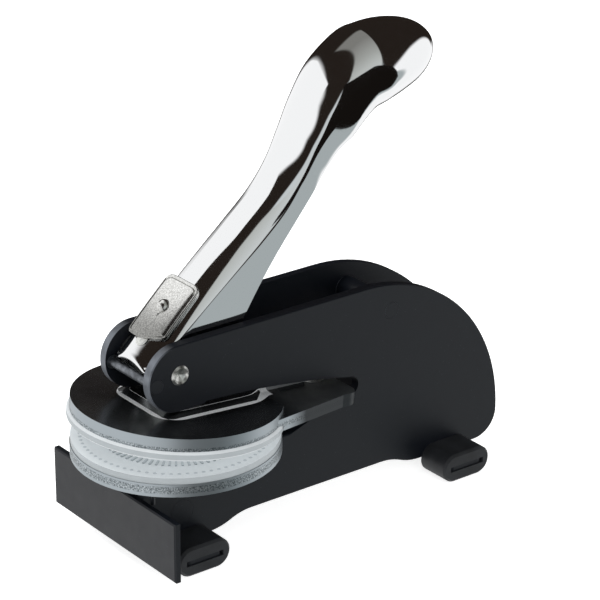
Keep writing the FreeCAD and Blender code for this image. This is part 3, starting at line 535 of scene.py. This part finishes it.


# Dies: two discs of moulded white acetal, pushed into the clip. The lower one has a sunk face inside
# a ring of fine dots, and the light that passes through them is drawn as a faint glow. The dots and
# the ribs are painted in a darker copy of the acetal, as painted shade.
def acetal(name, face_tone, side_shade_tone, glow):
    """Moulded acetal: milky, soft sheen, faint flow clouds of 6 mm; light comes through the faces. The
    sides take a darker tone as painted shade.
    """
    material, tree = new_material(name)
    coordinates = add(tree, "ShaderNodeTexCoord")
    place = coordinates.outputs["Object"]
    facing = add(tree, "ShaderNodeSeparateXYZ", links={0: coordinates.outputs["Normal"]})
    up = add(tree, "ShaderNodeMath", operation="ABSOLUTE", links={0: facing.outputs["Z"]})
    face = add(tree, "ShaderNodeMapRange", links={"Value": up.outputs[0]},
               sockets={"From Min": 0.3, "From Max": 0.7})
    flow = add(tree, "ShaderNodeTexNoise", links={"Vector": place},
               sockets={"Scale": 1 / (6 * MM), "Detail": 3.0})
    cloudy = add(tree, "ShaderNodeMapRange", links={"Value": flow.outputs["Fac"]},
                 sockets={"From Min": 0.3, "From Max": 0.7, "To Min": 0.9, "To Max": 1.0})
    # Painted shade: the sides are given a darker tone than the faces.
    tone = add(tree, "ShaderNodeMix", data_type="RGBA", links={0: face.outputs[0]},
               sockets={6: linear(side_shade_tone), 7: linear(face_tone)})
    tinted = add(tree, "ShaderNodeMix", data_type="RGBA", blend_type="MULTIPLY",
                 links={6: tone.outputs[2], 7: cloudy.outputs[0]}, sockets={0: 1.0})
    lit_through = add(tree, "ShaderNodeMapRange", links={"Value": face.outputs[0]},
                      sockets={"To Min": glow * 0.4, "To Max": glow})
    grain = add(tree, "ShaderNodeTexNoise", links={"Vector": place},
                sockets={"Scale": 1 / (0.5 * MM), "Detail": 2.0})
    bump = add(tree, "ShaderNodeBump", links={"Height": grain.outputs["Fac"]},
               sockets={"Strength": 0.12, "Distance": 0.04 * MM})
    plastic = add(tree, "ShaderNodeBsdfPrincipled",
                  links={"Base Color": tinted.outputs[2], "Normal": bump.outputs[0],
                         "Emission Strength": lit_through.outputs[0]},
                  sockets={"Roughness": 0.4, "IOR": 1.48, "Emission Color": linear("#e9eef0")})
    add(tree, "ShaderNodeOutputMaterial", links={"Surface": plastic.outputs[0]})
    return material


# The side tones are painted shade, darker than the faces.
white_acetal = acetal("white moulded acetal", "#c9cdcf", "#b3babd", 0.25)
# A darker copy of the acetal: painted shade for the dots and ribs, in place of the shade in their relief.
painted_shade_acetal = acetal("white moulded acetal, painted shade for fine relief", "#aeb6ba", "#a0a9ad", 0.16)
dress(white_acetal, "upper_die", "lower_die")

dot_ring_radius, dot_radius, dot_count = 22.93 * MM, 0.55 * MM, 76
lower_die_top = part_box("lower_die")[1][2]
# The dots sit low in the face, so that they clear the upper die when it closes to its 0.2 mm gap.
dot_centres = lower_die_top - 0.17 * MM


def new_group(name, sizes):
    """A Geometry Nodes tree with named inputs, and its input node."""
    group = bpy.data.node_groups.new(name, "GeometryNodeTree")
    group.interface.new_socket("Geometry", in_out="INPUT", socket_type="NodeSocketGeometry")
    for label, kind in sizes:
        group.interface.new_socket(label, in_out="INPUT", socket_type=kind)
    group.interface.new_socket("Geometry", in_out="OUTPUT", socket_type="NodeSocketGeometry")
    return group, add(group, "NodeGroupInput")


dots_tree, inputs = new_group("dot_ring", (("Ring radius", "NodeSocketFloat"), ("Dot radius", "NodeSocketFloat"),
                                           ("Height", "NodeSocketFloat"), ("Count", "NodeSocketInt")))
ring = add(dots_tree, "GeometryNodeMeshCircle",
           links={"Vertices": inputs.outputs["Count"], "Radius": inputs.outputs["Ring radius"]})
lift = add(dots_tree, "ShaderNodeCombineXYZ", links={"Z": inputs.outputs["Height"]}, sockets={"Y": die_axis})
placed = add(dots_tree, "GeometryNodeTransform",
             links={"Geometry": ring.outputs[0], "Translation": lift.outputs[0]})
dot = add(dots_tree, "GeometryNodeMeshUVSphere", links={"Radius": inputs.outputs["Dot radius"]},
          sockets={"Segments": 10, "Rings": 6})
low = add(dots_tree, "GeometryNodeTransform", links={"Geometry": dot.outputs[0]}, sockets={"Scale": (1, 1, 0.6)})
many = add(dots_tree, "GeometryNodeInstanceOnPoints",
           links={"Points": placed.outputs[0], "Instance": low.outputs[0]})
real = add(dots_tree, "GeometryNodeRealizeInstances", links={"Geometry": many.outputs[0]})
smooth = add(dots_tree, "GeometryNodeSetShadeSmooth", links={"Geometry": real.outputs[0]})
painted = add(dots_tree, "GeometryNodeSetMaterial", links={"Geometry": smooth.outputs[0]},
              sockets={"Material": painted_shade_acetal})
add(dots_tree, "NodeGroupOutput", links={"Geometry": painted.outputs[0]})


def grown(name, group, values):
    """Run a Geometry Nodes tree on an empty mesh and keep the result as a plain object."""
    seed = bpy.data.objects.new(name + "_seed", bpy.data.meshes.new(name + "_seed"))
    bpy.context.collection.objects.link(seed)
    modifier = seed.modifiers.new("grow", "NODES")
    modifier.node_group = group
    for item in group.interface.items_tree:
        if item.item_type == "SOCKET" and item.in_out == "INPUT" and item.name in values:
            modifier[item.identifier] = values[item.name]
    ready = seed.evaluated_get(bpy.context.evaluated_depsgraph_get())
    mesh = bpy.data.meshes.new_from_object(ready)
    mesh.name = name
    bpy.data.objects.remove(seed)
    made = bpy.data.objects.new(name, mesh)
    bpy.context.collection.objects.link(made)
    return made


die_dots = grown("die_dots", dots_tree, {"Ring radius": dot_ring_radius, "Dot radius": dot_radius,
                                         "Height": dot_centres, "Count": dot_count})
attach(die_dots, "frame_body")

# A plain ring of short ribs in the sunk face stands in for the relief of a seal.
rib_count, rib_radius, rib_length, rib_width, rib_height = 72, 17.0 * MM, 2.2 * MM, 0.5 * MM, 0.4 * MM
sunk_face = lower_die_top - 0.4 * MM
ribs_tree, inputs = new_group("rib_ring", (("Ring radius", "NodeSocketFloat"), ("Height", "NodeSocketFloat"),
                                           ("Rib size", "NodeSocketVector"), ("Count", "NodeSocketInt")))
ring = add(ribs_tree, "GeometryNodeMeshCircle",
           links={"Vertices": inputs.outputs["Count"], "Radius": inputs.outputs["Ring radius"]})
rib = add(ribs_tree, "GeometryNodeMeshCube", links={"Size": inputs.outputs["Rib size"]})
outwards = add(ribs_tree, "GeometryNodeInputPosition")
turned = add(ribs_tree, "FunctionNodeAlignRotationToVector", axis="X", pivot_axis="Z",
             links={"Vector": outwards.outputs[0]})
many = add(ribs_tree, "GeometryNodeInstanceOnPoints",
           links={"Points": ring.outputs[0], "Instance": rib.outputs[0], "Rotation": turned.outputs[0]})
real = add(ribs_tree, "GeometryNodeRealizeInstances", links={"Geometry": many.outputs[0]})
lift = add(ribs_tree, "ShaderNodeCombineXYZ", links={"Z": inputs.outputs["Height"]}, sockets={"Y": die_axis})
placed = add(ribs_tree, "GeometryNodeTransform", links={"Geometry": real.outputs[0], "Translation": lift.outputs[0]})
painted = add(ribs_tree, "GeometryNodeSetMaterial", links={"Geometry": placed.outputs[0]},
              sockets={"Material": painted_shade_acetal})
add(ribs_tree, "NodeGroupOutput", links={"Geometry": painted.outputs[0]})
die_ribs = grown("die_ribs", ribs_tree, {"Ring radius": rib_radius, "Height": sunk_face,
                                         "Rib size": (rib_length, rib_width, rib_height), "Count": rib_count})
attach(die_ribs, "frame_body")


# Lever: 1.15 mm steel strip, stamped into a channel and drawn into a closed bulb, then polished
# and chromed. It is laid out along the stem from the pivot and square to it towards the front.
pivot = Vector((0, -5.6 * MM + die_axis, 47.8 * MM))
rest_turn = radians(42.8)
lever_wall = 1.15 * MM
# Along, centre height, tilt in degrees, top, shoulder drop, depth, half width, two powers of the
# front, power of the sides, how far the back is closed, and how far the sides lean in.
lever_stations = (
    (-5.3, 0.0, 0, 6.80, 2.60, 3.5, 6.85, 2.2, 1.2, 10.0, 0.0, 0.0),
    (-4.85, 0.0, 0, 7.20, 2.70, 5.0, 7.00, 2.2, 1.2, 10.0, 0.0, 0.0),
    (-3.0, 0.0, 0, 7.22, 2.75, 9.5, 7.00, 2.2, 1.2, 10.0, 0.0, 0.0),
    (0.0, 0.0, 0, 7.18, 2.77, 11.3, 7.00, 2.2, 1.2, 10.0, 0.0, 0.0),
    (3.0, 0.0, 0, 7.16, 2.80, 11.9, 7.00, 2.2, 1.2, 10.0, 0.0, 0.0),
    (8.0, 0.0, 0, 7.15, 3.30, 11.2, 7.00, 2.6, 1.25, 10.0, 0.0, 0.0),
    (17.0, 0.0, 0, 7.10, 4.10, 9.0, 7.00, 2.9, 1.3, 10.0, 0.0, 0.0),
    (28.0, 0.0, 0, 6.80, 4.90, 6.3, 7.00, 3.1, 1.3, 10.0, 0.0, 0.0),
    (37.0, 0.0, 0, 6.40, 5.40, 4.6, 7.00, 3.1, 1.35, 10.0, 0.0, 0.0),
    (46.0, 0.1, -2, 6.05, 5.30, 3.5, 7.05, 2.8, 1.45, 9.0, 0.0, 0.0),
    (54.0, 1.3, -5, 5.95, 4.80, 3.5, 7.30, 2.4, 1.5, 8.0, 0.0, 0.0),
    (61.0, 3.1, -10, 6.70, 5.30, 4.5, 7.80, 2.1, 1.7, 8.0, 0.0, 0.10),
    (68.0, 4.9, -16, 7.80, 6.80, 6.1, 8.70, 2.0, 1.9, 6.0, 0.2, 0.13),
    (75.5, 6.0, -25, 8.90, 8.40, 9.1, 9.60, 2.0, 2.0, 3.6, 0.75, 0.03),
)
bulb_along, bulb_rise, bulb_tilt = 87.6, 2.1, -35.8
bulb_half_length, bulb_half_height, bulb_half_width = 18.1, 9.7, 10.6
mouth_arch = 1.5


def to_world(x, along, rise):
    """A point of the lever's own layout, in millimetres, in its place at rest."""
    return Vector((x * MM, pivot.y + (along * cos(rest_turn) - rise * sin(rest_turn)) * MM,
                   pivot.z + (along * sin(rest_turn) + rise * cos(rest_turn)) * MM))


def lever_rows():
    """The stations of the stem, then slices of the bulb's ellipsoid, spaced out by a smooth curve."""
    keys = [list(station) for station in lever_stations]
    tilt = radians(bulb_tilt)
    for s in (-5.0, 0.0, 5.0, 10.0, 14.0, 16.8, 17.9):
        f = sqrt(1 - (s / bulb_half_length) ** 2)
        keys.append([bulb_along + s * cos(tilt), bulb_rise + s * sin(tilt), bulb_tilt,
                     bulb_half_height * f, bulb_half_height * f,
                     bulb_half_height * f * (1 + 0.14 * max(0.0, -s / 5) + 0.03 * (s == 0)),
                     bulb_half_width * f, 2.0, 2.0, 2.0 + 0.6 * max(0.0, -s / 5) + 0.2 * (s == 0), 1.0, 0.0])
    keys = np.array(keys, float)
    rows = []
    for i in range(len(keys) - 1):
        before, start, end, after = keys[max(i - 1, 0)], keys[i], keys[i + 1], keys[min(i + 2, len(keys) - 1)]
        for t in np.arange(0, 1, 0.125):
            rows.append(0.5 * (2 * start + (end - before) * t + (2 * before - 5 * start + 4 * end - after) * t * t
                               + (3 * start - before - 3 * end + after) * t ** 3))
    return rows + [keys[-1]]


def lever_ring(row, front=20, lower=16):
    """One half of a cross-section, from the middle of the front round to the rear edge."""
    along, centre, tilt, top, drop, depth, wide, px, ph, sides, closing, lean = row
    a = np.linspace(0, 1, front + 1)
    xs = wide * np.sin(a * pi / 2)
    hs = top - drop + drop * np.clip(1 - (xs / wide) ** px, 0, 1) ** (1 / ph)
    shoulder = top - drop
    reach = (depth + shoulder) * (1.35 - 0.35 * min(1, closing))
    end = np.arcsin(min(1.0, (depth + shoulder) / reach) ** (sides / 2))
    b = np.linspace(0, 1, 120) * end
    x_low = wide * np.cos(b) ** (2 / sides)
    h_low = shoulder - reach * np.sin(b) ** (2 / sides)
    x_low = x_low * (1 - lean * (shoulder - h_low) / (depth + shoulder))
    run = np.r_[0, np.cumsum(np.hypot(np.diff(x_low), np.diff(h_low)))]
    even = np.linspace(0, run[-1], lower + 1)[1:]
    xs, hs = np.r_[xs, np.interp(even, run, x_low)], np.r_[hs, np.interp(even, run, h_low)]
    turn = radians(tilt)
    alongs, rises = along - hs * sin(turn), centre + hs * cos(turn)
    near_mouth = np.clip((6 - alongs) / 11, 0, 1)
    alongs = alongs + mouth_arch * near_mouth * np.clip(1 - (xs / 6.8) ** 2, 0, 1) * (hs > 0)
    alongs = alongs + 1.3 * near_mouth * np.clip((5.6 - hs) / 0.8, 0, 1)
    return list(zip(xs, alongs, rises))


def skin(rings, name):
    """An object through half rings, mirrored across the middle, with its doubles merged."""
    mesh = bmesh.new()
    grid = []
    for half in rings:
        loop = [(-x, u, n) for x, u, n in reversed(half[1:])] + list(half)
        grid.append([mesh.verts.new(to_world(*point)) for point in loop])
    for low, high in zip(grid[:-1], grid[1:]):
        for i in range(len(low) - 1):
            mesh.faces.new((low[i], low[i + 1], high[i + 1], high[i]))
    mesh.faces.new(grid[-1])
    bmesh.ops.remove_doubles(mesh, verts=mesh.verts, dist=0.01 * MM)
    return finished(mesh, name)


def polished_chrome():
    """Decorative chrome over nickel: mirror bright, with the long soft waves of hand polishing."""
    material, tree = new_material("polished chrome plate")
    place = object_place(tree)
    waves = add(tree, "ShaderNodeTexNoise", links={"Vector": place},
                sockets={"Scale": 1 / (9 * MM), "Detail": 1.0})
    haze = add(tree, "ShaderNodeTexNoise", links={"Vector": place},
               sockets={"Scale": 1 / (2.5 * MM), "Detail": 4.0})
    rough = add(tree, "ShaderNodeMapRange", links={"Value": haze.outputs["Fac"]},
                sockets={"To Min": 0.03, "To Max": 0.10})
    bump = add(tree, "ShaderNodeBump", links={"Height": waves.outputs["Fac"]},
               sockets={"Strength": 0.10, "Distance": 0.25 * MM})
    chrome = add(tree, "ShaderNodeBsdfPrincipled",
                 links={"Roughness": rough.outputs[0], "Normal": bump.outputs[0]},
                 sockets={"Base Color": linear("#e3e4e5"), "Metallic": 1.0})
    add(tree, "ShaderNodeOutputMaterial", links={"Surface": chrome.outputs[0]})
    return material


lever_skin = skin([lever_ring(row) for row in lever_rows()], "lever_skin")
thicken(lever_skin, lever_wall)
lever_skin.data.materials.append(polished_chrome())
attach(lever_skin, "lever_body")
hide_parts("handle")


# Latch: a pressed cover of 0.4 mm sheet that slides on the front of the lever, with a stepped
# border and a thumb nub that runs out in a ramp; brushed nickel, with painted shade on its lower end.
plate_start, plate_end, plate_half_width = 2.6, 18.9, 6.4
plate_corner, plate_top, plate_crown = 2.4, 8.15, 0.60
# How far in from the edge, and the height under the top, of each line of the stepped border.
border = ((0.0, 0.62), (0.0, 0.30), (0.08, 0.15), (0.22, 0.10), (0.42, 0.12), (0.55, 0.30), (0.72, 0.34),
          (0.86, 0.22), (1.0, 0.05), (1.2, 0.0), (1.7, 0.0), (2.6, 0.0), (3.6, 0.0), (4.6, 0.0), (5.4, 0.0))


def plate_outline(inset, per_corner=10, per_side=10):
    """Points round the cover at a distance in from its edge; the lower edge bows down."""
    x = plate_half_width - inset
    low, high = plate_start + inset, plate_end - inset
    corners = ((x, high, max(plate_corner - inset, 0.15), 0), (-x, high, max(plate_corner - inset, 0.15), 90),
               (-x, low, max(1.2 - inset, 0.1), 180), (x, low, max(1.2 - inset, 0.1), 270))
    points = []
    for cx, cu, r, start in corners:
        ox, ou = cx - r * (1 if cx > 0 else -1), cu - r * (1 if cu == high else -1)
        for k in range(per_corner + 1):
            angle = radians(start + 90 * k / per_corner)
            points.append((ox + r * cos(angle), ou + r * sin(angle)))
    closed = points + [points[0]]
    spread = []
    for (ax, au), (bx, bu) in zip(closed[:-1], closed[1:]):
        steps = per_side if max(abs(ax - bx), abs(au - bu)) > 1.5 else 1
        spread += [(ax + (bx - ax) * k / steps, au + (bu - au) * k / steps) for k in range(steps)]
    bowed = []
    for px, pu in spread:
        low_share = np.clip((plate_start + 6 - pu) / 6, 0, 1)
        across = px / plate_half_width
        bowed.append((px, pu + low_share * (1.2 * across ** 2 + 1.3 * across - 0.5)))
    return bowed


latch_mesh = bmesh.new()
loops = []
for inset, drop in border:
    loop = []
    for px, pu in plate_outline(inset):
        crown = plate_crown * (px / plate_half_width) ** 2 + 0.12 * ((pu - 13) / 8) ** 2
        lip = np.clip((plate_start + 1.6 - pu) / 1.2, 0, 1) * np.clip((6.2 - abs(px)) / 1.2, 0, 1)
        fall = drop * (1 - lip) + min(drop, 0.25) * lip
        loop.append(latch_mesh.verts.new(to_world(px, pu, plate_top - crown - fall)))
    loops.append(loop)
for low, high in zip(loops[:-1], loops[1:]):
    for i in range(len(low)):
        j = (i + 1) % len(low)
        latch_mesh.faces.new((low[i], low[j], high[j], high[i]))
latch_mesh.faces.new(loops[-1])
latch_cover = finished(latch_mesh, "latch_cover")
thicken(latch_cover, 0.38 * MM)

# The nub: a dome, and a narrow ramp that runs out of it towards the mouth.
nub_middle, nub_half_length, nub_half_width, nub_height = 10.9, 1.85, 1.6, 1.45
nub_sections = [(7.4, 0.05, 0.03), (8.1, 0.28, 0.22), (8.8, 0.5, 0.42)]
for step in range(1, 16):
    place = -cos(pi * step / 15)
    round_part = sqrt(max(1 - place * place, 0))
    least_half, least_rise = (0.02, 0.02) if place > 0 else (0.5, 0.42)
    nub_sections.append((nub_middle + nub_half_length * place, max(nub_half_width * round_part, least_half),
                         max(nub_height * round_part, least_rise)))
nub_sections.sort()
nub_mesh = bmesh.new()
sections = []
for u, half, rise in nub_sections:
    section = []
    for k in range(13):
        angle = pi * k / 12
        section.append(nub_mesh.verts.new(to_world(half * cos(angle), u, plate_top - 0.15 + rise * sin(angle))))
    sections.append(section)
for low, high in zip(sections[:-1], sections[1:]):
    for i in range(12):
        nub_mesh.faces.new((low[i], low[i + 1], high[i + 1], high[i]))
    nub_mesh.faces.new((low[12], low[0], high[0], high[12]))
nub_mesh.faces.new(sections[0])
nub_mesh.faces.new(sections[-1])
thumb_nub = finished(nub_mesh, "thumb_nub")


def brushed_nickel():
    """Nickel on brushed sheet: satin, painted darker towards its lower end as painted shade. The brush's
    grain of about 0.1 mm is drawn at 0.35 mm, as coarse as it needs to show."""
    material, tree = new_material("brushed nickel plate")
    place = object_place(tree)
    grain = add(tree, "ShaderNodeTexNoise", links={"Vector": place},
                sockets={"Scale": 1 / (0.35 * MM), "Detail": 4.0})
    bright = ramp(tree, grain.outputs["Fac"], ((0.3, "#b4b4b1"), (0.7, "#f2f2f0")))
    # Painted shade: below 56 mm the cover takes a darker copy of the nickel tone, blending up to 64 mm.
    shaded_tone = ramp(tree, grain.outputs["Fac"], ((0.3, "#6c6c6a"), (0.7, "#a5a5a2")))
    where = add(tree, "ShaderNodeSeparateXYZ", links={0: place})
    out_of_shade = add(tree, "ShaderNodeMapRange", links={"Value": where.outputs["Z"]}, interpolation_type="SMOOTHSTEP",
               sockets={"From Min": 56 * MM, "From Max": 64 * MM})
    tone = add(tree, "ShaderNodeMix", data_type="RGBA",
               links={0: out_of_shade.outputs[0], 6: shaded_tone, 7: bright}).outputs[2]
    bump = add(tree, "ShaderNodeBump", links={"Height": grain.outputs["Fac"]},
               sockets={"Strength": 0.25, "Distance": 0.02 * MM})
    nickel = add(tree, "ShaderNodeBsdfPrincipled", links={"Base Color": tone, "Normal": bump.outputs[0]},
                 sockets={"Metallic": 1.0, "Roughness": 0.2})
    add(tree, "ShaderNodeOutputMaterial", links={"Surface": nickel.outputs[0]})
    return material


nickel = brushed_nickel()
latch_cover.data.materials.append(nickel)
thumb_nub.data.materials.append(nickel)
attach(latch_cover, "latch_body")
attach(thumb_nub, "latch_body")
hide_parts("latch_plate")
